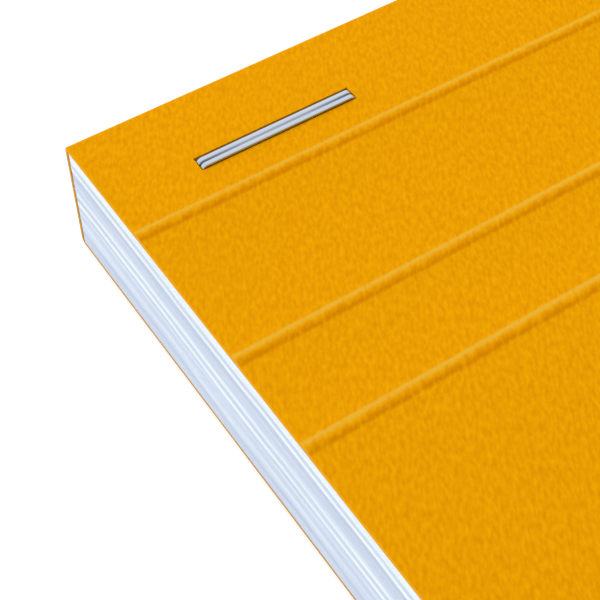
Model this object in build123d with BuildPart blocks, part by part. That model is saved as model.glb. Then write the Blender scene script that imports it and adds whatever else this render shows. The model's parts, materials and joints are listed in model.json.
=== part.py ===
from build123d import *
import os

# A pocket pad of plain sheets, stapled at its head. One sheet of amber card is the
# back, the head and the front cover. Three raised beads across the front let the
# cover fold back over the head. All lengths are millimetres.
# X runs along the head, Y from the foot to the head, Z up. The origin is on the
# surface that the pad lies on, under its centre.

# Pad
pad_width = 85.0
pad_length = 120.0
sheet_count = 80
sheet_thickness = 0.117

# Card cover
card = 0.35
cover_gap = 0.05
upper_fold_inside = 0.06
lower_fold_inside = 0.15
head_clearance = 0.05

# Beads, counted from the head
first_bead = 10.35
second_bead = 22.63
third_bead = 30.31
bead_width = 1.0
bead_height = 0.15
bead_blend = 0.3
hinge_rise = 0.03
score_slit = 0.06

# Flat wire staples
staple_from_head = 6.98
staple_from_side = 13.3
crown_length = 13.0
clinch_length = 4.6
wire_width = 0.92
wire_thickness = 0.42
wire_edge = 0.06
groove_width = 0.26
groove_depth = 0.07
bend_inside = 0.05
crown_sink = 0.2
crown_margin = 0.05
crown_slot = 0.33
wire_fit = 0.05
dent_wall = 0.2

# Levels, from the surface under the pad
block_bottom = card
block_top = block_bottom + sheet_count * sheet_thickness
cover_bottom = block_top + cover_gap
cover_top = cover_bottom + card
bead_top = cover_top + bead_height

# Places from foot to head
foot = -pad_length / 2
head = pad_length / 2
block_head = head - card - max(upper_fold_inside, lower_fold_inside) - head_clearance
beads = [head - first_bead, head - second_bead, head - third_bead]
staple_y = head - staple_from_head

# A bead is an arch of even thickness, its two faces on one centre
bead_outside = (bead_width**2 / 4 + bead_height**2) / (2 * bead_height)
bead_inside = bead_outside - card
bead_centre = bead_top - bead_outside

# Wire along its middle line
wire_bend = bend_inside + wire_thickness / 2
leg_x = crown_length / 2 - wire_thickness / 2
crown_z = cover_top - crown_sink + wire_thickness / 2
clinch_z = wire_thickness / 2
staple_centres = [staple_from_side - pad_width / 2, pad_width / 2 - staple_from_side]
sides = [-1, 1]

# What the wire needs around it in the card and the sheets
leg_hole_length = wire_thickness + 2 * (bend_inside + wire_fit)
leg_hole_width = wire_width + 2 * wire_fit
dent_length = wire_thickness / 2 + clinch_length + 2 * wire_fit
dent_width = wire_width + 2 * wire_fit
dent_offset = leg_x + wire_thickness / 2 + wire_fit - dent_length / 2
tray_length = dent_length + 2 * dent_wall
tray_width = dent_width + 2 * dent_wall
tray_top = wire_thickness + dent_wall

leg_places = [(x + side * leg_x, staple_y) for x in staple_centres for side in sides]
dent_places = [(x + side * dent_offset, staple_y) for x in staple_centres for side in sides]
crown_places = [(x, staple_y + crown_slot / 2) for x in staple_centres]


def at_foot_of_bead(vertex):
    """True where the arch of a bead meets the flat outer face of the card."""
    on_face = abs(vertex.Y - cover_top) < 0.001
    return on_face and any(abs(abs(vertex.X - bead) - bead_width / 2) < 0.001 for bead in beads)


# The whole card in section, folded round the head, before it is parted at the beads
with BuildSketch(Plane.YZ) as folded_card:
    with BuildLine():
        outer_face = FilletPolyline(
            (foot, 0),
            (head, 0),
            (head, cover_top),
            (foot, cover_top),
            radius=[lower_fold_inside + card, upper_fold_inside + card],
        )
        offset(outer_face, amount=card, side=Side.LEFT)
    make_face()
    with Locations(*[(bead, bead_centre) for bead in beads]):
        Circle(bead_outside)
        Circle(bead_inside, mode=Mode.SUBTRACT)
    with Locations((foot, block_bottom)):
        Rectangle(
            block_head - foot,
            cover_bottom - block_bottom,
            align=(Align.MIN, Align.MIN),
            mode=Mode.SUBTRACT,
        )
    fillet(folded_card.vertices().filter_by(at_foot_of_bead), radius=bead_blend)


def cover_leaf(from_bead, to_bead):
    """The front card between two places, with half a bead at each scored end."""
    with BuildPart() as leaf:
        with BuildSketch(Plane.YZ):
            add(folded_card.sketch_local)
            with Locations((to_bead, cover_bottom)):
                Rectangle(
                    from_bead - to_bead,
                    bead_top - cover_bottom,
                    align=(Align.MIN, Align.MIN),
                    mode=Mode.INTERSECT,
                )
        extrude(amount=pad_width / 2, both=True)
    return leaf


# Back, head and the strip under the staples, up to the crest of the first bead
with BuildPart() as cover_wrap:
    with BuildSketch(Plane.YZ):
        add(folded_card.sketch_local)
        with Locations((foot, cover_bottom)):
            Rectangle(
                beads[0] + score_slit / 2 - foot,
                bead_top - cover_bottom,
                align=(Align.MIN, Align.MIN),
                mode=Mode.SUBTRACT,
            )
    extrude(amount=pad_width / 2, both=True)
    # The clinched ends are pressed into the back, which stands up in small trays
    with BuildSketch():
        with Locations(*dent_places):
            Rectangle(tray_length, tray_width)
    extrude(amount=tray_top)
    with BuildSketch():
        with Locations(*dent_places):
            Rectangle(dent_length, dent_width)
    extrude(amount=wire_thickness, mode=Mode.SUBTRACT)
    # The crowns lie in shallow dents in the strip, with a slot along their head side
    with BuildSketch(Plane.XY.offset(cover_top - crown_sink)):
        with Locations(*crown_places):
            Rectangle(crown_length + 2 * crown_margin, wire_width + crown_slot + 2 * crown_margin)
    extrude(amount=crown_sink, mode=Mode.SUBTRACT)
    with BuildSketch():
        with Locations(*leg_places):
            Rectangle(leg_hole_length, leg_hole_width)
    extrude(amount=cover_top, mode=Mode.SUBTRACT)

upper_panel = cover_leaf(beads[0] - score_slit / 2, beads[1] + score_slit / 2)
lower_panel = cover_leaf(beads[1] - score_slit / 2, beads[2] + score_slit / 2)
front_flap = cover_leaf(beads[2] - score_slit / 2, foot)

# The sheets, trimmed flush with the card at both sides and the foot
with BuildPart() as page_block:
    with BuildSketch(Plane.XY.offset(block_bottom)):
        with Locations((0, foot)):
            Rectangle(pad_width, block_head - foot, align=(Align.CENTER, Align.MIN))
    extrude(amount=block_top - block_bottom)
    with BuildSketch(Plane.XY.offset(block_bottom)):
        with Locations(*dent_places):
            Rectangle(tray_length, tray_width)
    extrude(amount=tray_top - block_bottom, mode=Mode.SUBTRACT)
    with BuildSketch(Plane.XY.offset(block_bottom)):
        with Locations(*leg_places):
            Rectangle(leg_hole_length, leg_hole_width)
    extrude(amount=block_top - block_bottom, mode=Mode.SUBTRACT)


def staple(centre_x):
    """One staple: grooved flat wire bent twice at the crown and clinched inwards."""
    upright = Plane(origin=(centre_x, staple_y, 0), x_dir=(1, 0, 0), z_dir=(0, -1, 0))
    with BuildPart() as wire:
        with BuildLine(upright) as route:
            FilletPolyline(
                (clinch_length - leg_x, clinch_z),
                (-leg_x, clinch_z),
                (-leg_x, crown_z),
                (leg_x, crown_z),
                (leg_x, clinch_z),
                (leg_x - clinch_length, clinch_z),
                radius=wire_bend,
            )
        path = route.wires()[0]
        with BuildSketch(Plane(origin=path @ 0, x_dir=(0, 1, 0), z_dir=path % 0)):
            RectangleRounded(wire_width, wire_thickness, wire_edge)
            with Locations((0, wire_thickness / 2)):
                Ellipse(groove_width / 2, groove_depth, mode=Mode.SUBTRACT)
        sweep(path=path)
    return wire


staple_left, staple_right = [staple(x) for x in staple_centres]

pieces = {
    "cover_wrap": cover_wrap,
    "upper_panel": upper_panel,
    "lower_panel": lower_panel,
    "front_flap": front_flap,
    "page_block": page_block,
    "staple_left": staple_left,
    "staple_right": staple_right,
}

os.makedirs("parts", exist_ok=True)
for name, piece in pieces.items():
    piece.part.label = name
    export_step(piece.part, f"parts/{name}.step")

for number, bead in enumerate(beads, start=1):
    print(f"fold_{number} axis: y {bead:.3f}, z {bead_top + hinge_rise:.3f}")
print(f"closed height {cover_top:.3f}, crown top {crown_z + wire_thickness / 2:.3f}")
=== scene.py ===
# %% [markdown]
# A pocket notebook, dressed around its imported solids.
# The real thing is simple: eighty sheets of paper, one sheet of amber card folded
# round their head, and two flat wire staples. Looks on a thing this plain come from
# true sections, honest cut edges and quiet surfaces, so each of them gets a step.
# The imported model gives every size and place, and it is loaded first. The dressed
# notebook may not outgrow it.

# %% Load the imported notebook
import json
import math
import random

import bmesh
import bpy
from mathutils import Matrix, Vector, noise


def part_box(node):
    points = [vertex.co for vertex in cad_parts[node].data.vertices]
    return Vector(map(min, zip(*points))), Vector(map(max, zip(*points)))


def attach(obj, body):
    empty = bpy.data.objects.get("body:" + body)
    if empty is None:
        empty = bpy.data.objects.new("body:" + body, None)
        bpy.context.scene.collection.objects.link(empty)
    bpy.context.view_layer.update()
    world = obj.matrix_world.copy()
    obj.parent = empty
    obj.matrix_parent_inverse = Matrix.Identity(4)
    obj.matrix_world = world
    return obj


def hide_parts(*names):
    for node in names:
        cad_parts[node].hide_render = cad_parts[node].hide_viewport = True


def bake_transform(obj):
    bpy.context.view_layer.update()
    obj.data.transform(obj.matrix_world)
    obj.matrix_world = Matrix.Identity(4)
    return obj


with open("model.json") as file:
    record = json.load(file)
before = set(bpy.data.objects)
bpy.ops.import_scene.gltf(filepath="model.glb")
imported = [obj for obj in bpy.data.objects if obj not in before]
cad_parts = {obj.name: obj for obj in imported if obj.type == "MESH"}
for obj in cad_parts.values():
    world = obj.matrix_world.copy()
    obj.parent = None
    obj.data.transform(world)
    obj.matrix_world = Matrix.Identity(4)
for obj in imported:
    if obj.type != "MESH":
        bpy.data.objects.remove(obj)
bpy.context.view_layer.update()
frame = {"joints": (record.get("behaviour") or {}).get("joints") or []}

# %% [markdown]
# All sizes are worked out from the solids. The joints lie along the three beads, and
# the boxes of the nodes say where the card, the sheets and the wire are. Only what a
# box can't tell, such as the thickness of the card, is written down here.

# %% Read the sizes of the notebook
mm = 0.001
card = 0.35 * mm
bead_width = 1.0 * mm
bead_blend = 0.30 * mm
wire_thickness = 0.42 * mm

wrap_low, wrap_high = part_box("cover_wrap")
flap_low, flap_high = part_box("front_flap")
block_low, block_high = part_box("page_block")
left, right = wrap_low.x, wrap_high.x
foot, head = wrap_low.y, wrap_high.y
cover_bottom = flap_low.z
cover_top = cover_bottom + card
bead_height = flap_high.z - cover_top
beads = [joint["pos_m"][1] for joint in frame["joints"]]
print("width, length, height", round(right - left, 4), round(head - foot, 4), round(cover_top, 5))
print("bead height", round(bead_height / mm, 3), "mm")
print("beads from the head", [round((head - bead) / mm, 2) for bead in beads])

# %% [markdown]
# The camera comes before the modelling, so that every render can be laid over the
# photograph. The real camera was close, above the left side and a little short of the
# head, and looked down by about fifty degrees. Its place was solved from the vanishing
# points of the notebook's own edges, and it is given here from the sharp corner of the
# cover at the head's left end, with a heading, a pitch and a slight roll.

# %% Place the camera
lens_mm = 83.2
sensor_mm = 36.0
camera_from_corner = Vector((-24.508, -66.969, 68.933)) * mm
heading = math.radians(-33.444)
pitch = math.radians(90 - 51.233)
roll = math.radians(-0.337)

camera_data = bpy.data.cameras.new("photo_camera")
camera_data.lens = lens_mm
camera_data.sensor_width = sensor_mm
camera_data.clip_start = 1 * mm
camera_data.clip_end = 10.0
camera = bpy.data.objects.new("photo_camera", camera_data)
bpy.context.scene.collection.objects.link(camera)
turn = Matrix.Rotation(heading, 4, "Z") @ Matrix.Rotation(pitch, 4, "X")
turn = turn @ Matrix.Rotation(roll, 4, "Z")
corner = Vector((left, head, cover_top))
camera.matrix_world = Matrix.Translation(corner + camera_from_corner) @ turn
bpy.context.scene.camera = camera
print("camera at", [round(value, 4) for value in camera.matrix_world.translation])

# %% [markdown]
# The stage is that of a catalogue picture. Its floor is a white acrylic table, lit from
# below, on which hardly a shadow shows. A large plane with a matt paint that glows a
# little does the same, and it is wide enough that a low view never sees its edge. It
# lies a hair below the notebook, so that no two faces share one level.

# %% Lay the table
table_size = 40
table_drop = 0.02 * mm
bpy.ops.object.select_all(action="DESELECT")
bpy.ops.mesh.primitive_plane_add(size=table_size, location=(0, 0, -table_drop))
table = bpy.context.active_object
table.name = "table_top"

table_paint = bpy.data.materials.new("white_table")
table_paint.use_nodes = True
paint = table_paint.node_tree.nodes["Principled BSDF"]
paint.inputs["Base Color"].default_value = (0.70, 0.70, 0.70, 1)
paint.inputs["Roughness"].default_value = 0.9
paint.inputs["Specular IOR Level"].default_value = 0.1
paint.inputs["Emission Color"].default_value = (1, 1, 1, 1)
paint.inputs["Emission Strength"].default_value = 0.45
table.data.materials.append(table_paint)
print("table", table_size, "m wide")

# %% [markdown]
# The room is a large white studio, brighter beyond the head than behind the camera.
# That one difference does most of the work: it lights the head side of each bead, leaves
# its foot side deeper, and lets the staple mirror a bright wall. Lamps could do it too,
# but the world around the scene does it best: its light comes from so far away that it
# is even all over the notebook. A dot product tells how far each direction turns to the
# bright side, and that sets the strength of the wall.

# %% Light the studio walls
bright_side = Vector((0.05, 0.92, 0.35)).normalized()
dim_wall = 0.25
bright_wall = 1.20

world = bpy.context.scene.world or bpy.data.worlds.new("studio")
bpy.context.scene.world = world
world.use_nodes = True
sky = world.node_tree
direction = sky.nodes.new("ShaderNodeTexCoord")
facing = sky.nodes.new("ShaderNodeVectorMath")
facing.operation = "DOT_PRODUCT"
facing.inputs[1].default_value = bright_side
wall = sky.nodes.new("ShaderNodeMapRange")
wall.inputs["From Min"].default_value = -1
wall.inputs["To Min"].default_value = dim_wall
wall.inputs["To Max"].default_value = bright_wall
sky.links.new(direction.outputs["Generated"], facing.inputs[0])
sky.links.new(facing.outputs["Value"], wall.inputs["Value"])
sky.links.new(wall.outputs["Result"], sky.nodes["Background"].inputs["Strength"])
sky.nodes["Background"].inputs["Color"].default_value = (1, 1, 1, 1)
print("studio walls from", dim_wall, "to", bright_wall)

# %% [markdown]
# Walls alone leave no shadow at all, and the photograph has a short soft one at the
# staple's foot side. One wide lamp beyond the head adds it. Nothing mirrors that lamp,
# because it would burn out the round ends of the staple. The standard view transform
# keeps white paper white.

# %% Hang one wide lamp
lamp_data = bpy.data.lights.new("head_softbox", "AREA")
lamp_data.shape = "SQUARE"
lamp_data.size = 1.2
lamp_data.energy = 13.0
lamp = bpy.data.objects.new("head_softbox", lamp_data)
bpy.context.scene.collection.objects.link(lamp)
lamp.location = (-0.15, 1.25, 1.8)
lamp.rotation_euler = (-lamp.location).to_track_quat("-Z", "Y").to_euler()
lamp.visible_glossy = False
bpy.context.scene.view_settings.view_transform = "Standard"
print("one lamp of", lamp_data.energy, "watts")

# %% [markdown]
# Modelling by hand means: add a primitive, open it in edit mode, select something,
# and act on it. A script can't click, so it selects by place: it looks at the centre of
# each vertex, edge or face. These helpers do what the mouse would do, and each later
# step reads like a list of its moves.

# %% Add a plane and pick by place
def add_plane(name, corner_a, corner_b, height):
    """A flat rectangle between two corners, at a height, left open in edit mode."""
    middle = ((corner_a[0] + corner_b[0]) / 2, (corner_a[1] + corner_b[1]) / 2, height)
    bpy.ops.object.select_all(action="DESELECT")
    bpy.ops.mesh.primitive_plane_add(size=1, location=middle)
    piece = bpy.context.active_object
    piece.name = piece.data.name = name
    piece.scale = (abs(corner_b[0] - corner_a[0]), abs(corner_b[1] - corner_a[1]), 1)
    bpy.ops.object.transform_apply(location=True, rotation=True, scale=True)
    bpy.ops.object.mode_set(mode="EDIT")
    return piece


def pick(kind, test, first_corners=None):
    """Select the vertices, edges or faces of the open piece whose centre passes a test.

    With first_corners, only what lies wholly on that many of its first corners counts.
    """
    bpy.ops.mesh.select_mode(type=kind)
    bpy.ops.mesh.select_all(action="DESELECT")
    mesh = bmesh.from_edit_mesh(bpy.context.active_object.data)
    found = 0
    for part in {"VERT": mesh.verts, "EDGE": mesh.edges, "FACE": mesh.faces}[kind]:
        corners = [part] if kind == "VERT" else part.verts
        if first_corners and any(corner.index >= first_corners for corner in corners):
            continue
        centre = sum((corner.co for corner in corners), Vector()) / len(corners)
        if test(centre):
            part.select_set(True)
            found += 1
    mesh.select_flush_mode()
    bmesh.update_edit_mesh(bpy.context.active_object.data)
    return found


def near(a, b, reach=0.002 * mm):
    """True where two lengths are the same, within two thousandths of a millimetre."""
    return abs(a - b) < reach


print("ready to add and pick")

# %% [markdown]
# The other moves are a cut right across the piece, the way out of edit mode, and the
# Apply button of the modifiers. The last helper counts edges that don't join exactly
# two faces, because a finished piece of card, paper or wire has none.

# %% Cut, close, apply and count
def cut(point, direction):
    """Cut a line across all that is selected, where a plane passes through it."""
    bpy.ops.mesh.bisect(plane_co=point, plane_no=direction)


def close_edit():
    """Leave edit mode and hand back the piece."""
    bpy.ops.object.mode_set(mode="OBJECT")
    return bpy.context.active_object


def apply_all(piece):
    """Apply every modifier of a piece, first to last."""
    bpy.ops.object.select_all(action="DESELECT")
    piece.select_set(True)
    bpy.context.view_layer.objects.active = piece
    for modifier in list(piece.modifiers):
        bpy.ops.object.modifier_apply(modifier=modifier.name)


def tell(piece):
    """Print how many triangles a piece has, and how many of its edges are open."""
    mesh = bmesh.new()
    mesh.from_mesh(piece.data)
    open_edges = sum(1 for edge in mesh.edges if len(edge.link_faces) != 2)
    triangles = sum(len(face.verts) - 2 for face in mesh.faces)
    print(f"{piece.name}: {triangles} triangles, {open_edges} open edges")
    mesh.free()


print("ready to cut, close, apply and count")

# %% [markdown]
# Every finish here is worked out by nodes, from where a point lies on its piece, so it
# stays in place when the piece moves. The same few moves come back in each of them: a
# noise whose patches have a size in millimetres, a ramp that turns a value into colours,
# and a mix of two colours. Each move is a small function, so that a material reads like
# a recipe.

# %% Lay a pattern and colour it
def new_material(name):
    """A material with its shader, and its node tree ready to wire."""
    material = bpy.data.materials.new(name)
    material.use_nodes = True
    return material, material.node_tree, material.node_tree.nodes["Principled BSDF"]


def placed_noise(tree, size, detail, lean=0):
    """Noise in patches of a size along X, Y and Z, turned about Z by a lean."""
    place = tree.nodes.new("ShaderNodeTexCoord")
    mapping = tree.nodes.new("ShaderNodeMapping")
    mapping.vector_type = "TEXTURE"
    mapping.inputs["Rotation"].default_value = (0, 0, lean)
    mapping.inputs["Scale"].default_value = size
    texture = tree.nodes.new("ShaderNodeTexNoise")
    texture.inputs["Scale"].default_value = 1.0
    texture.inputs["Detail"].default_value = detail
    tree.links.new(place.outputs["Object"], mapping.inputs["Vector"])
    tree.links.new(mapping.outputs["Vector"], texture.inputs["Vector"])
    return texture.outputs["Fac"]


def ramp(tree, value, stops):
    """Colours along a value: a list of places and colours."""
    node = tree.nodes.new("ShaderNodeValToRGB")
    while len(node.color_ramp.elements) < len(stops):
        node.color_ramp.elements.new(0.5)
    for element, (place, colour) in zip(node.color_ramp.elements, stops):
        element.position = place
        element.color = (*colour, 1)
    tree.links.new(value, node.inputs["Fac"])
    return node.outputs["Color"]


def mix(tree, factor, colour, other):
    """One colour where the factor is 0 or less, and the other where it is 1 or more."""
    node = tree.nodes.new("ShaderNodeMix")
    node.data_type = "RGBA"
    tree.links.new(factor, node.inputs["Factor"])
    tree.links.new(colour, node.inputs["A"])
    node.inputs["B"].default_value = (*other, 1)
    return node.outputs["Result"]


print("ready to lay patterns and colour them")

# %% [markdown]
# Some colours belong to a place, as dust belongs to a groove. For those the place has to
# become a share between 0 and 1. The nodes for that are the coordinates of a point or a
# number kept on the points, sums with them, and a fade between two limits. A bump then
# makes the surface look raised by such a value, without a single new face.

# %% Turn a place into a share, and raise a bump
def work_out(tree, operation, value, other=None):
    """A sum with a value, and with a number or a second value where it takes one."""
    node = tree.nodes.new("ShaderNodeMath")
    node.operation = operation
    tree.links.new(value, node.inputs[0])
    if isinstance(other, (int, float)):
        node.inputs[1].default_value = other
    elif other is not None:
        tree.links.new(other, node.inputs[1])
    return node.outputs["Value"]


def fade(tree, value, start, end, low=0.0, high=1.0):
    """From low to high while a value runs from start to end, and level beyond."""
    node = tree.nodes.new("ShaderNodeMapRange")
    limits = {"From Min": start, "From Max": end, "To Min": low, "To Max": high}
    for name, limit in limits.items():
        node.inputs[name].default_value = limit
    tree.links.new(value, node.inputs["Value"])
    return node.outputs["Result"]


def coordinates(tree):
    """Where a point lies on the piece, as its X, Y and Z."""
    node = tree.nodes.new("ShaderNodeSeparateXYZ")
    tree.links.new(tree.nodes.new("ShaderNodeTexCoord").outputs["Object"], node.inputs["Vector"])
    return node.outputs


def attribute(tree, name):
    """A number that the piece keeps on its points."""
    node = tree.nodes.new("ShaderNodeAttribute")
    node.attribute_name = name
    return node.outputs["Fac"]


def add_bump(tree, shader, value, depth, strength):
    """Raise the surface a little where a value is high."""
    node = tree.nodes.new("ShaderNodeBump")
    node.inputs["Strength"].default_value = strength
    node.inputs["Distance"].default_value = depth
    tree.links.new(value, node.inputs["Height"])
    tree.links.new(node.outputs["Normal"], shader.inputs["Normal"])


print("ready to work out shares and bumps")

# %% [markdown]
# The card is uncoated and dyed right through. Up close its face isn't one amber but a
# fine mottle of fibres, each patch about half a millimetre long, all leaning the same
# way, because the pulp runs with the machine that lays it. A noise texture gives such
# patches when a Mapping node says how large they are one way and the other. Light and
# shade are painted into the colour as well: each bead gets a painted highlight on the
# side that faces the head, paler, and painted shade on its other side, deeper, both as
# ragged as the mottle, and the floor of each dent under a crown gets painted shade. The
# knife leaves a rougher amber on the cut edge. It is brighter along the front cover, and
# at the head and the back it gets painted shade and is duller.

# %% Amber card, its face and its cut edge
fibre_lean = math.radians(60)
patch = Vector((0.60, 0.26, 0.26)) * mm
fibre = Vector((0.35, 0.16, 0.16)) * mm

amber_card, tree, shader = new_material("amber_card")
mottle = placed_noise(tree, patch, detail=1.5, lean=fibre_lean)
stops = [
    (0.25, (0.730, 0.277, 0.0005)),
    (0.50, (0.798, 0.331, 0.0008)),
    (0.75, (0.866, 0.386, 0.0012)),
]
face = ramp(tree, mottle, stops)
# Painted highlight on the head side of each bead and painted shade on its foot side, both
# following the bead's slope.
slope = attribute(tree, "bead_slope")
painted_highlight_share = fade(tree, mottle, 0.30, 0.70, low=0.80, high=2.30)
painted_shade_share = fade(tree, mottle, 0.30, 0.70, low=-1.75, high=-0.20)
face = mix(tree, work_out(tree, "MULTIPLY", slope, painted_highlight_share), face, (0.71, 0.394, 0.030))
face = mix(tree, work_out(tree, "MULTIPLY", slope, painted_shade_share), face, (0.74, 0.26, 0.0004))
# Painted shade: the floor of each crown's dent is painted dark.
face = mix(tree, attribute(tree, "crushed"), face, (0.30, 0.17, 0.06))
tree.links.new(face, shader.inputs["Base Color"])
shader.inputs["Roughness"].default_value = 0.8
shader.inputs["Specular IOR Level"].default_value = 0.004
grain = placed_noise(tree, fibre, detail=3, lean=fibre_lean)
add_bump(tree, shader, grain, depth=0.01 * mm, strength=0.3)

card_core, tree, shader = new_material("card_cut_edge")
layers = placed_noise(tree, (1.1 * mm, 1.1 * mm, 0.07 * mm), detail=3)
edge = ramp(tree, layers, [(0.25, (0.56, 0.290, 0.040)), (0.75, (0.68, 0.370, 0.075))])
# Painted shade: the cut edge is duller at the head and the back, and brighter along the front
# cover.
at_front = fade(tree, coordinates(tree)["Z"], cover_bottom - card, cover_bottom)
edge = mix(tree, at_front, edge, (0.88, 0.40, 0.010))
tree.links.new(edge, shader.inputs["Base Color"])
shader.inputs["Roughness"].default_value = 0.9
shader.inputs["Specular IOR Level"].default_value = 0.02
print("card materials", amber_card.name, card_core.name)

# %% [markdown]
# A bead is a line that a blunt rule pressed into the card from inside, so that it
# stands up outside. Its section is a low arch that runs out into the flat card through
# a small hollow curve. Both are circles that touch, so the height at any distance from
# the crest is a short formula, and a row of cuts across a flat card can be raised to it.

# %% The height of a bead beside its crest
arch_radius = (bead_width**2 / 4 + bead_height**2) / (2 * bead_height)
arch_drop = arch_radius - bead_height
blend_reach = math.sqrt((arch_radius + bead_blend) ** 2 - (bead_blend + arch_drop) ** 2)
arch_reach = blend_reach * arch_radius / (arch_radius + bead_blend)


def bead_rise(distance):
    """How far the card's face stands up at a distance from the crest of a bead."""
    distance = abs(distance)
    if distance < arch_reach:
        return math.sqrt(arch_radius**2 - distance**2) - arch_drop
    if distance < blend_reach:
        return bead_blend - math.sqrt(bead_blend**2 - (blend_reach - distance) ** 2)
    return 0.0


def bead_slope(distance):
    """How steeply the face falls to the head: 1 at the steepest, negative on the foot side."""
    step = 0.01 * mm
    fall = bead_rise(distance - step) - bead_rise(distance + step)
    steepest = bead_rise(arch_reach - step) - bead_rise(arch_reach + step)
    return fall / steepest


print("a bead reaches", round(blend_reach / mm, 3), "mm each side of its crest")

# %% [markdown]
# Each piece of card is modelled as its outer face alone, and Solidify then gives it the
# thickness of the card. It grows inwards, so the inner face follows every arch, as
# pressed card does, and it gives the rim a material of its own: the cut edge. The
# guillotine leaves that edge a little blunt, and a narrow bevel along the outer side of
# the rim says so.

# %% Give the card its thickness
edge_break = 0.03 * mm


def on_rim(centre):
    """True on the cut edges of the card: both sides, and across the foot."""
    return near(centre.x, left) or near(centre.x, right) or near(centre.y, foot)


def give_thickness(piece):
    """Grow the card inwards from its outer face, then blunt the outer side of its cut edge."""
    outer_corners = len(piece.data.vertices)
    piece.data.materials.append(amber_card)
    piece.data.materials.append(card_core)
    wall = piece.modifiers.new("card", "SOLIDIFY")
    wall.thickness = card
    wall.offset = -1
    wall.use_even_offset = True
    wall.material_offset_rim = 1
    apply_all(piece)
    bpy.ops.object.mode_set(mode="EDIT")
    blunted = pick("EDGE", on_rim, outer_corners)
    bpy.ops.mesh.bevel(offset=edge_break, segments=2, affect="EDGES")
    close_edit()
    print(piece.name, "blunted edges:", blunted)


print("card", round(card / mm, 2), "mm thick, its edge blunted by", round(edge_break / mm, 2))

# %% [markdown]
# The front cover folds at its beads, and its joints carry three leaves of card. Each
# leaf is modelled with the bead that it hangs from: a flat plane, a row of cuts over
# the bead, each cut raised to the arch, then the thickness. How steep the face is goes
# with its points, because the painted highlight and painted shade of the card follow it.

# %% Model a leaf of the cover with its bead
seam_reach = 1.0 * mm
bead_cuts = 28


def model_leaf(name, bead, far_end):
    """A leaf of the front cover, from the seam above its bead to its far end."""
    leaf = add_plane(name, (left, bead + seam_reach), (right, far_end), cover_top)
    shares = [1 - 2 * number / bead_cuts for number in range(-1, bead_cuts + 2)]
    places = [bead + blend_reach * share for share in shares]
    for place in places:
        bpy.ops.mesh.select_all(action="SELECT")
        cut((0, place, cover_top), (0, 1, 0))
    for place in places:
        pick("VERT", lambda centre: near(centre.y, place))
        bpy.ops.transform.translate(value=(0, 0, bead_rise(place - bead)))
    close_edit()
    give_thickness(leaf)
    slopes = leaf.data.attributes.new("bead_slope", "FLOAT", "POINT")
    for vertex in leaf.data.vertices:
        slopes.data[vertex.index].value = bead_slope(vertex.co.y - bead)
    return leaf


leaf_names = ["first_leaf", "second_leaf", "third_leaf"]
leaf_ends = [beads[1] + seam_reach, beads[2] + seam_reach, foot]
leaves = [model_leaf(*values) for values in zip(leaf_names, beads, leaf_ends)]
for leaf in leaves:
    tell(leaf)

# %% [markdown]
# The rest of the card is the back, the head and the strip that the staples hold. It is
# one plane for the back, whose head edge is extruded up and then over towards the foot,
# and whose two folds are bevelled round. Smooth shading would drag the roundness of a
# fold far over the flat card beside it, so a cut close to each fold holds it back. The
# leaves have such a cut on either side of their bead.

# %% Fold the card round the head
lower_fold = 0.50 * mm
upper_fold = 0.41 * mm
fold_steps = 8

wrap = add_plane("card_wrap", (left, foot), (right, head), 0)
pick("EDGE", lambda centre: near(centre.y, head))
bpy.ops.mesh.extrude_region_move(TRANSFORM_OT_translate={"value": (0, 0, cover_top)})
strip = beads[0] + seam_reach - head
bpy.ops.mesh.extrude_region_move(TRANSFORM_OT_translate={"value": (0, strip, 0)})
pick("EDGE", lambda centre: near(centre.y, head) and near(centre.z, 0))
bpy.ops.mesh.bevel(offset=lower_fold, segments=fold_steps, affect="EDGES")
pick("EDGE", lambda centre: near(centre.y, head) and near(centre.z, cover_top))
bpy.ops.mesh.bevel(offset=upper_fold, segments=fold_steps, affect="EDGES")
for point, direction in (
    ((0, head - lower_fold - edge_break, 0), (0, 1, 0)),
    ((0, head, lower_fold + edge_break), (0, 0, 1)),
    ((0, head, cover_top - upper_fold - edge_break), (0, 0, 1)),
):
    bpy.ops.mesh.select_all(action="SELECT")
    cut(point, direction)
bpy.ops.mesh.select_all(action="SELECT")
bpy.ops.mesh.normals_make_consistent(inside=False)
close_edit()
print("head fold faces", len(wrap.data.polygons))

# %% [markdown]
# Under each crown the wire has pressed the card in, and on the back each clinched end
# lies flush in a dent of its own. An inset with a depth makes such a dent, and deleting
# a patch of its floor lets the leg through. Four cuts mark out each patch first.

# %% Ways to press a dent and to pierce the card
dent_slope = 0.03 * mm


def rectangle(x, y, length, breadth):
    """Low and high corners of a rectangle about a middle."""
    return (x - length / 2, y - breadth / 2, x + length / 2, y + breadth / 2)


def pick_patch(area, level):
    """Cut the sides of a rectangle into the card at a level, and select what it holds."""
    for point, direction in (
        ((area[0], area[1], level), (1, 0, 0)),
        ((area[2], area[1], level), (1, 0, 0)),
        ((area[0], area[1], level), (0, 1, 0)),
        ((area[0], area[3], level), (0, 1, 0)),
    ):
        pick("FACE", lambda centre: near(centre.z, level))
        cut(point, direction)
    return pick(
        "FACE",
        lambda centre: near(centre.z, level)
        and area[0] < centre.x < area[2]
        and area[1] < centre.y < area[3],
    )


def press_dent(area, level, depth):
    """Press a rectangle of the card in by a depth, with steep sides."""
    pick_patch(area, level)
    bpy.ops.mesh.inset(thickness=dent_slope, depth=-depth)


def pierce(area, level):
    """Cut a rectangular hole."""
    pick_patch(area, level)
    bpy.ops.mesh.delete(type="FACE")


print("the sides of a dent lean by", round(dent_slope / mm, 2), "mm")

# %% [markdown]
# The boxes of the two staple nodes say where the wire runs, how wide it is and how long
# its crown is. How far it is clinched doesn't show in a box, so that is written down.
# Legs stand at both ends of a crown, and from there the clinched ends run inwards.

# %% Find the places of the wire
clinch_length = 4.6 * mm
clinch_reach = clinch_length + wire_thickness / 2

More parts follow.
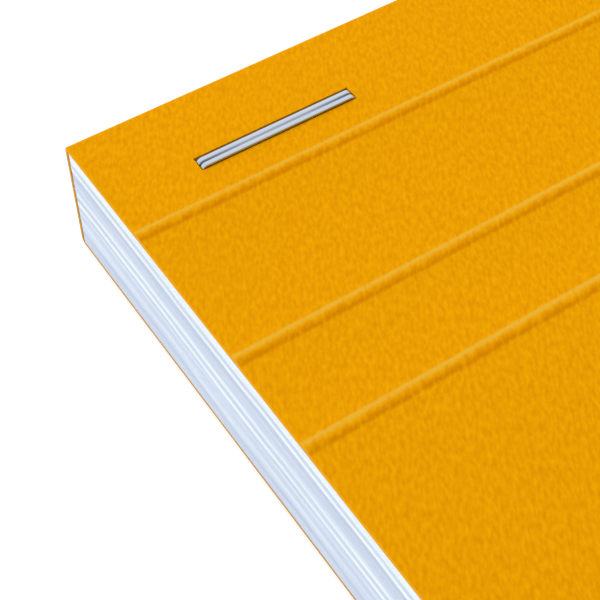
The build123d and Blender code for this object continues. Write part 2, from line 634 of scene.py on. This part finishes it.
staple_boxes = [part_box(name) for name in ("staple_left", "staple_right")]
staple_middles = [(low.x + high.x) / 2 for low, high in staple_boxes]
staple_low, staple_high = staple_boxes[0]
wire_width = staple_high.y - staple_low.y
crown_length = staple_high.x - staple_low.x
staple_y = (staple_low.y + staple_high.y) / 2
staple_top = staple_high.z
crown_depth = cover_top + wire_thickness - staple_top
leg_reach = (crown_length - wire_thickness) / 2
leg_places = [middle + side * leg_reach for middle in staple_middles for side in (-1, 1)]
end_reach = (crown_length - clinch_reach) / 2
clinch_places = [middle + side * end_reach for middle in staple_middles for side in (-1, 1)]
print("crown", round(crown_length / mm, 2), "mm long,", round(crown_depth / mm, 2), "mm deep")
print("legs at x", [round(x / mm, 2) for x in leg_places], "mm")

# %% [markdown]
# The card hugs a crown at both ends and along its foot side. On the head side the dent
# is a little wider than the wire, and its steep wall shows there as a dark line. The
# floor of that dent is pressed card, and its points are marked for painted shade, which
# darkens that line further. Only then does the wrap get its thickness, so that every
# dent and hole has walls.

# %% Press the dents for the wire and pierce the card
crown_slot = 0.30 * mm
crown_gap = 0.02 * mm
clinch_margin = 0.05 * mm
leg_grip = 0.08 * mm
edging = 2 * dent_slope

bpy.context.view_layer.objects.active = wrap
bpy.ops.object.mode_set(mode="EDIT")
for middle in staple_middles:
    across = wire_width + crown_slot + 2 * crown_gap + edging
    dent = rectangle(middle, staple_y + crown_slot / 2, crown_length, across)
    press_dent(dent, cover_top, crown_depth)
for x in clinch_places:
    along = clinch_reach + 2 * clinch_margin + edging
    across = wire_width + 2 * clinch_margin + edging
    press_dent(rectangle(x, staple_y, along, across), 0, wire_thickness)
for x in leg_places:
    hole = rectangle(x, staple_y, wire_thickness - 2 * leg_grip, wire_width)
    pierce(hole, cover_top - crown_depth)
    pierce(hole, wire_thickness)
close_edit()
# Painted shade: points on the floor of each crown's dent are marked to be painted dark.
crushed = wrap.data.attributes.new("crushed", "FLOAT", "POINT")
for vertex in wrap.data.vertices:
    crushed.data[vertex.index].value = float(near(vertex.co.z, cover_top - crown_depth))
give_thickness(wrap)

# %% [markdown]
# Pressed card doesn't keep its full thickness. Solidify grew a whole thickness behind
# every dent, so the inner faces there are moved back: level with the rest under the
# crowns, and to a thin wall over each clinched end.

# %% Thin the card behind its dents
tray_wall = 0.20 * mm

bpy.ops.object.mode_set(mode="EDIT")
behind_crown = cover_bottom - crown_depth
pick("VERT", lambda centre: near(centre.z, behind_crown))
bpy.ops.transform.translate(value=(0, 0, crown_depth))
behind_clinch = wire_thickness + card
pick("VERT", lambda centre: near(centre.z, behind_clinch))
bpy.ops.transform.translate(value=(0, 0, tray_wall - card))
close_edit()
tell(wrap)

# %% [markdown]
# The folds and the arches are rows of narrow flat faces. More of them would round the
# card, but smooth shading does it at no cost. It goes by angle, so faces that meet at
# more than thirty degrees stay crisp, as they do along the cut edges.

# %% Smooth the card
def smooth(piece, degrees=30):
    """Shade a piece smooth where its faces meet at a small angle."""
    bpy.ops.object.select_all(action="DESELECT")
    piece.select_set(True)
    bpy.context.view_layer.objects.active = piece
    bpy.ops.object.shade_smooth_by_angle(angle=math.radians(degrees))


for piece in [*leaves, wrap]:
    smooth(piece)
print("smoothed", len(leaves) + 1, "pieces of card")

# %% [markdown]
# The staples are flat wire. Drawing left a shallow groove down the middle of its outer
# face and rounded its edges, and that section is what catches the light. A curve could
# carry such a section, but it is easier to shape as a small plane: its corners are
# bevelled, and the groove is pulled in from one point with a smooth falloff.

# %% Draw the section of the wire
wire_edge = 0.05 * mm
groove_width = 0.26 * mm
groove_depth = 0.07 * mm
groove_cuts = 21


def wire_section(name, place):
    """The section of the wire, standing across X at a place with its grooved face down."""
    outer = -wire_thickness / 2
    section = add_plane(name, (-wire_width / 2, outer), (wire_width / 2, -outer), 0)
    bpy.ops.mesh.select_all(action="SELECT")
    bpy.ops.mesh.bevel(offset=wire_edge, segments=6, affect="VERTICES")
    pick("EDGE", lambda centre: near(centre.y, outer) and near(centre.x, 0))
    bpy.ops.mesh.subdivide(number_cuts=groove_cuts)
    pick("VERT", lambda centre: near(centre.y, outer) and near(centre.x, 0))
    bpy.ops.transform.translate(
        value=(0, groove_depth, 0),
        use_proportional_edit=True,
        proportional_edit_falloff="SMOOTH",
        proportional_size=groove_width / 2,
    )
    close_edit()
    section.rotation_euler = (math.radians(90), 0, math.radians(90))
    section.location = place
    bpy.ops.object.transform_apply(location=True, rotation=True, scale=True)
    return section


print("wire", round(wire_width / mm, 2), "by", round(wire_thickness / mm, 2), "mm")

# %% [markdown]
# A staple is one straight piece of wire, bent down at both ends of its crown and
# clinched under the notebook. A section can follow such a wire in two moves: it is
# extruded along a straight run and spun round a corner. The cutter pinched both ends of
# the wire a little, and a resize about the middle of each end does that.

# %% Run, bend and pinch the wire
bend_steps = 8
pinch = 0.72


def run_wire(x, z):
    """Extrude the end of the wire along a straight run."""
    bpy.ops.mesh.extrude_region_move(TRANSFORM_OT_translate={"value": (x, 0, z)})


def bend_wire(x, z):
    """Spin the end of the wire a quarter turn about an axis along Y."""
    centre = (x, staple_y, z)
    bpy.ops.mesh.spin(steps=bend_steps, angle=-math.pi / 2, center=centre, axis=(0, 1, 0))


def pinch_end(x, z):
    """Squeeze the cut end of the wire at a place."""
    pick("VERT", lambda centre: near(centre.x, x) and centre.z < wire_thickness)
    bpy.ops.transform.resize(value=(1, pinch, pinch), center_override=(x, staple_y, z))


print("a corner takes", bend_steps, "steps")

# %% [markdown]
# The route starts at one clinched end and goes up through the block, over the crown and
# down to the other end. Its four corners have the same small radius, so each straight
# run is what lies between two of them. The two staples are twins, so one is modelled
# and copied.

# %% Bend a staple and copy it
bend_inside = 0.05 * mm
pinch_length = 0.20 * mm


def bend_staple(name, middle):
    """A staple from one clinched end to the other, over its crown."""
    bend = bend_inside + wire_thickness
    corner = crown_length / 2 - bend
    start = middle - crown_length / 2 + clinch_reach
    end = 2 * middle - start
    clinch = start - (middle - corner)
    wire = wire_section(name, (start, staple_y, wire_thickness / 2))
    bpy.ops.object.mode_set(mode="EDIT")
    bpy.ops.mesh.select_mode(type="FACE")
    bpy.ops.mesh.select_all(action="SELECT")
    run_wire(-pinch_length, 0)
    run_wire(pinch_length - clinch, 0)
    bend_wire(middle - corner, bend)
    run_wire(0, staple_top - 2 * bend)
    bend_wire(middle - corner, staple_top - bend)
    run_wire(2 * corner, 0)
    bend_wire(middle + corner, staple_top - bend)
    run_wire(0, 2 * bend - staple_top)
    bend_wire(middle + corner, bend)
    run_wire(pinch_length - clinch, 0)
    run_wire(-pinch_length, 0)
    for x in (start, end):
        pinch_end(x, wire_thickness / 2)
    bpy.ops.mesh.select_all(action="SELECT")
    bpy.ops.mesh.remove_doubles(threshold=0.001 * mm)
    bpy.ops.mesh.normals_make_consistent(inside=False)
    return close_edit()


left_staple = bend_staple("left_wire", staple_middles[0])
smooth(left_staple, degrees=40)
right_staple = left_staple.copy()
right_staple.data = left_staple.data.copy()
right_staple.name = right_staple.data.name = "right_wire"
right_staple.data.transform(Matrix.Translation((staple_middles[1] - staple_middles[0], 0, 0)))
bpy.context.scene.collection.objects.link(right_staple)
for wire in (left_staple, right_staple):
    tell(wire)

# %% [markdown]
# Staple wire is bright steel with fine lines drawn along it. Metal has no colour of its
# own but what it mirrors, so the shader is fully metallic, and a noise that is
# stretched along the wire varies its colour and lifts its surface a little. A darker
# grey is painted into the groove as a painted dark reflection, least at the middle of
# the crown and most at its bends, mixed in by the distance from both middles.

# %% Drawn steel wire
steel, tree, shader = new_material("drawn_steel")
lines = placed_noise(tree, (12 * mm, 0.22 * mm, 0.22 * mm), detail=2)
stops = [(0.3, (0.50, 0.55, 0.64)), (0.7, (0.58, 0.64, 0.74))]
place = coordinates(tree)
off_groove = work_out(tree, "ABSOLUTE", work_out(tree, "SUBTRACT", place["Y"], staple_y))
off_side = work_out(tree, "SUBTRACT", work_out(tree, "ABSOLUTE", place["X"]), staple_middles[1])
off_middle = work_out(tree, "ABSOLUTE", off_side)
# Painted dark reflection in the groove, strongest near the bends of the crown.
in_groove = fade(tree, off_groove, 0.15 * mm, 0.04 * mm)
near_bend = fade(tree, off_middle, 2.5 * mm, 6.3 * mm, low=0.15, high=0.90)
painted_groove_shade = work_out(tree, "MULTIPLY", in_groove, near_bend)
wire_colour = mix(tree, painted_groove_shade, ramp(tree, lines, stops), (0.08, 0.10, 0.11))
tree.links.new(wire_colour, shader.inputs["Base Color"])
shader.inputs["Metallic"].default_value = 1.0
shader.inputs["Roughness"].default_value = 0.24
add_bump(tree, shader, lines, depth=0.003 * mm, strength=0.15)
for wire in (left_staple, right_staple):
    wire.data.materials.append(steel)
print("wire material", steel.name)

# %% [markdown]
# The block is eighty sheets. From the side, each is a line a tenth of a millimetre
# high with a fine nick above and below it. One sheet's edge is modelled as four rings,
# in, out, out and in again, and an Array repeats it eighty times and merges the rings
# where two sheets meet. Then the bottom and the top are filled.

# %% Stack the sheets
sheet_count = 80
sheet = (block_high.z - block_low.z) / sheet_count
ring_cuts = 47
nick = 0.025 * mm
nick_share = 0.22
block_middle = (block_low + block_high) / 2
block_size = block_high - block_low


def let_out(amount):
    """Move the selected ring out by an amount on every side, or in."""
    ratio = (1 + 2 * amount / block_size.x, 1 + 2 * amount / block_size.y, 1)
    bpy.ops.transform.resize(value=ratio, center_override=block_middle)


block = add_plane("page_sheets", block_low, block_high, block_low.z)
bpy.ops.mesh.delete(type="ONLY_FACE")
bpy.ops.mesh.select_mode(type="EDGE")
bpy.ops.mesh.select_all(action="SELECT")
bpy.ops.mesh.subdivide(number_cuts=ring_cuts)
let_out(-nick)
for rise, amount in ((nick_share, nick), (1 - 2 * nick_share, 0), (nick_share, -nick)):
    bpy.ops.mesh.extrude_region_move(TRANSFORM_OT_translate={"value": (0, 0, rise * sheet)})
    let_out(amount)
close_edit()
repeat = block.modifiers.new("sheets", "ARRAY")
repeat.count = sheet_count
repeat.use_relative_offset = False
repeat.use_constant_offset = True
repeat.constant_offset_displace = (0, 0, sheet)
repeat.use_merge_vertices = True
repeat.merge_threshold = 0.002 * mm
apply_all(block)
bpy.ops.object.mode_set(mode="EDIT")
for level in (block_low.z, block_high.z):
    pick("EDGE", lambda centre: near(centre.z, level))
    bpy.ops.mesh.edge_face_add()
bpy.ops.mesh.select_all(action="SELECT")
bpy.ops.mesh.normals_make_consistent(inside=False)
close_edit()
tell(block)

# %% [markdown]
# Boolean is the quickest way to cut plain holes through a solid. The tools are boxes,
# first at each leg and then over each clinched end. The boxes of one cut may not touch
# each other, so that is two cuts; each set is joined, used once and deleted.

# %% Cut the places of the staples
def add_tool(area, low, high):
    """A box over an area, between two heights."""
    middle = ((area[0] + area[2]) / 2, (area[1] + area[3]) / 2, (low + high) / 2)
    bpy.ops.mesh.primitive_cube_add(size=1, location=middle)
    tool = bpy.context.active_object
    tool.scale = (area[2] - area[0], area[3] - area[1], high - low)
    return tool


def cut_away(name, areas, top):
    """Cut boxes over some areas out of the block, from the table to a height."""
    bpy.ops.object.select_all(action="DESELECT")
    tools = [add_tool(area, 0, top) for area in areas]
    for tool in tools:
        tool.select_set(True)
    bpy.context.view_layer.objects.active = tools[0]
    bpy.ops.object.join()
    punch = bpy.context.active_object
    bpy.ops.object.transform_apply(location=True, rotation=True, scale=True)
    cut_out = block.modifiers.new(name, "BOOLEAN")
    cut_out.operation = "DIFFERENCE"
    cut_out.solver = "EXACT"
    cut_out.object = punch
    apply_all(block)
    bpy.data.objects.remove(punch, do_unlink=True)
    tell(block)


leg_room = 0.06 * mm
tray_room = 2 * (clinch_margin + dent_slope + card)
tray_gap = 0.01 * mm
tray_top = wire_thickness + tray_wall + tray_gap
leg_size = (wire_thickness + leg_room, wire_width + leg_room)
tray_size = (clinch_reach + tray_room, wire_width + tray_room)
cut_away("leg_holes", [rectangle(x, staple_y, *leg_size) for x in leg_places], staple_top)
cut_away("trays", [rectangle(x, staple_y, *tray_size) for x in clinch_places], tray_top)

# %% [markdown]
# The blade pushes the sheets in small lots, and the lots take the light differently:
# white ones, and ones that look grey or lavender. That shade is painted into the paper's
# colour. An image could hold such stripes, but a list of lots is shorter: from the top
# down, it says how many sheets lie in each and how deep their painted shade is.

# %% Deal the sheets into lots
white, grey, mauve, deep = 0.05, 0.40, 0.72, 1.00
lots = [
    (7, white),
    (4, mauve),
    (4, white),
    (5, deep),
    (10, mauve),
    (3, grey),
    (3, white),
    (5, mauve),
    (4, white),
    (4, mauve),
    (3, grey),
    (6, mauve),
    (8, grey),
    (3, mauve),
    (3, deep),
    (8, mauve),
]
shades = [shade for count, shade in lots for _ in range(count)]
shades.reverse()
print("sheets in lots", len(shades), "of", sheet_count)

# %% [markdown]
# No two sheets lie quite flush. Every sheet is moved in or out by a few hundredths of a
# millimetre, part of it by chance and part in slow waves along its edge. The shade of
# its lot is kept as an attribute on its points, for the material to read, and along the
# block a lot drifts up or down by a sheet or two.

# %% Shuffle the sheets
sheet_shift = 0.018 * mm
wave_shift = 0.020 * mm
wave_length = 30 * mm
wave_change = 0.35
lot_drift = 2.5
drift_length = 16 * mm
drift_squeeze = 2.5
just_above = 0.001

random.seed(80)
shifts = [random.uniform(-sheet_shift, sheet_shift) for _ in shades]
# Painted shade: each point keeps the shade of its lot, for the paper's colour.
lot_shade = block.data.attributes.new("lot_shade", "FLOAT", "POINT")
last_sheet = sheet_count - 1
for vertex in block.data.vertices:
    place = vertex.co
    number = min(int((place.z - block_low.z) / sheet + just_above), last_sheet)
    point = Vector((place.x, place.y, drift_squeeze * place.z)) / drift_length
    drift = lot_drift * noise.noise(point)
    lot_shade.data[vertex.index].value = shades[min(max(round(number + drift), 0), last_sheet)]
    point = Vector((place.x, place.y, 0)) / wave_length + Vector((0, 0, number * wave_change))
    wave = noise.noise(point)
    shift = shifts[number] + wave_shift * wave
    if abs(place.x - block_middle.x) > block_size.x / 2 - 2 * nick:
        place.x += math.copysign(shift, place.x - block_middle.x)
    if abs(place.y - block_middle.y) > block_size.y / 2 - 2 * nick:
        place.y += math.copysign(shift, place.y - block_middle.y)
smooth(block, degrees=20)
print("largest chance shift", round(max(map(abs, shifts)) / mm, 3), "mm")

# %% [markdown]
# The sheets are smooth white writing paper. Its cut edges pick up a cool cast, and run
# in fine streaks along the side; both are painted shade, lavender where it is deepest.
# The shade of each lot gives the broad stripes, and a noise squeezed very thin in height
# is added to it, so that no stripe is quite even.

# %% Cut edges of the paper
paper, tree, shader = new_material("paper_cut_edge")
# Painted shade of the lots, from white to lavender grey.
shade = attribute(tree, "lot_shade")
streaks = placed_noise(tree, (9 * mm, 9 * mm, 0.22 * mm), detail=3)
spread = fade(tree, streaks, 0, 1, low=-0.55, high=0.55)
total = work_out(tree, "ADD", shade, spread)
stops = [(0.0, (0.91, 0.98, 1.0)), (0.5, (0.72, 0.80, 0.93)), (1.0, (0.59, 0.66, 0.81))]
tree.links.new(ramp(tree, total, stops), shader.inputs["Base Color"])
shader.inputs["Roughness"].default_value = 0.75
shader.inputs["Specular IOR Level"].default_value = 0.2
pulp_size = (0.6 * mm, 0.6 * mm, 0.6 * mm)
pulp = placed_noise(tree, pulp_size, detail=4)
add_bump(tree, shader, pulp, depth=0.01 * mm, strength=0.3)
block.data.materials.append(paper)
print("paper material", paper.name)

# %% [markdown]
# The face of the top sheet only shows once the cover is folded back. It is no cut edge,
# so it has no streaks: it is an even white, with the faint close grain of paper. The
# faces at the top and the bottom of the block get this second material by their height.

# %% The face of the top sheet
sheet_face, tree, shader = new_material("paper_face")
pulp = placed_noise(tree, pulp_size, detail=4)
stops = [(0.3, (0.86, 0.905, 0.95)), (0.7, (0.90, 0.945, 0.98))]
tree.links.new(ramp(tree, pulp, stops), shader.inputs["Base Color"])
shader.inputs["Roughness"].default_value = 0.75
shader.inputs["Specular IOR Level"].default_value = 0.2
add_bump(tree, shader, pulp, depth=0.01 * mm, strength=0.3)
block.data.materials.append(sheet_face)
plain_faces = 0
for face in block.data.polygons:
    if near(face.center.z, block_high.z) or near(face.center.z, block_low.z):
        face.material_index = 1
        plain_faces += 1
print("paper faces", plain_faces)

# %% [markdown]
# Every piece is finished, so it can be tied to the imported notebook. The wrap, the
# sheets and the wire ride on the pad: each says which node it stands for, which body
# carries it and which finish it has. Each leaf is only laid in place of the body after
# its bead, which is hidden.

# %% Tie the pieces to the notebook
bodies = ["pad", "upper_panel", "lower_panel", "front_flap"]
for number, leaf in enumerate(leaves):
    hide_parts(bodies[number + 1])
    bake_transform(leaf)

for piece, node, slot in (
    (wrap, "cover_wrap", "cover_card"),
    (block, "page_block", "white_sheets"),
    (left_staple, "staple_left", "staple_wire"),
    (right_staple, "staple_right", "staple_wire"),
):
    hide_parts(node)
    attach(piece, "pad")
    low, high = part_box(node)
    for axis in range(3):
        values = [vertex.co[axis] for vertex in piece.data.vertices]
        lower = round((min(values) - low[axis]) / mm, 3)
        upper = round((max(values) - high[axis]) / mm, 3)
        print(node, "XYZ"[axis], "differs by", lower, upper)
